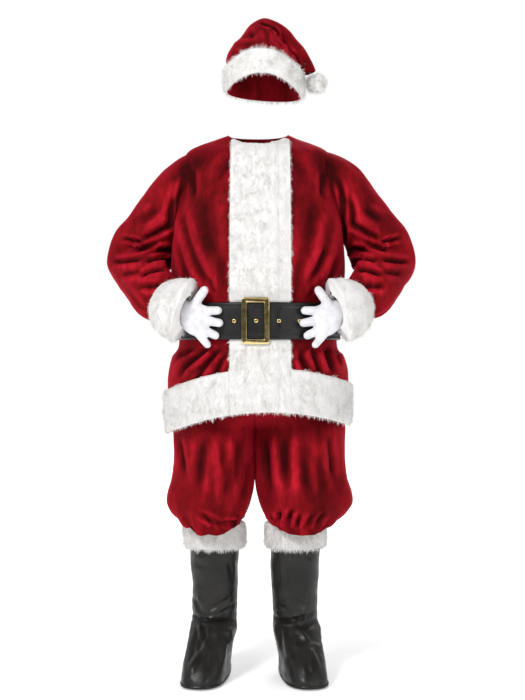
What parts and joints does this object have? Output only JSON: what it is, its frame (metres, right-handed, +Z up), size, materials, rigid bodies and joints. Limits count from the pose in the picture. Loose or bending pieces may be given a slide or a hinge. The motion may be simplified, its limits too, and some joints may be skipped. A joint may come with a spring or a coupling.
{
  "type": "santa suit",
  "caption": "Red plush santa suit in its worn form with no wearer: hat with fur band and pompom, belted jacket with fur trim, gloves, gathered breeches and black boot tops with fur.",
  "frame": {"origin": "the middle of the base of the neck, where the jacket hangs on the wearer", "axes": "+Z up, the front faces -Y and the wearer's left is at +X"},
  "size_m": [0.8836, 0.4412, 1.8782],
  "materials": {
    "plush": "crimson plush velvet with a short shining nap",
    "fur": "white fur fabric with a short tufted pile",
    "knit": "thin white cotton knit",
    "belt_vinyl": "black grained leatherette, half gloss",
    "boot_vinyl": "charcoal coated cloth, half gloss, creased",
    "brass": "polished, antiqued in the corners"
  },
  "bodies": {
    "root": {"belt_buckle": "brass", "belt_eyelet_1": "brass", "belt_eyelet_2": "brass", "belt_eyelet_3": "brass", "belt_eyelet_4": "brass", "belt_strap": "belt_vinyl", "boot_binding_left": "boot_vinyl", "boot_binding_right": "boot_vinyl", "boot_fur_left": "fur", "boot_fur_right": "fur", "boot_shaft_left": "boot_vinyl", "boot_shaft_right": "boot_vinyl", "breeches_back_left": "plush", "breeches_back_right": "plush", "breeches_front_left": "plush", "breeches_front_right": "plush", "breeches_waistband": "plush", "cuff_fur_left": "fur", "cuff_fur_right": "fur", "front_fur_over": "fur", "front_fur_under": "fur", "glove_left": "knit", "glove_right": "knit", "hat_band_fur": "fur", "hat_crown_left": "plush", "hat_crown_right": "plush", "hat_pompom": "fur", "hem_fur_back": "fur", "hem_fur_left": "fur", "hem_fur_right": "fur", "jacket_back": "plush", "jacket_front_left": "plush", "jacket_front_right": "plush", "sleeve_left": "plush", "sleeve_right": "plush"}
  },
  "joints": []
}
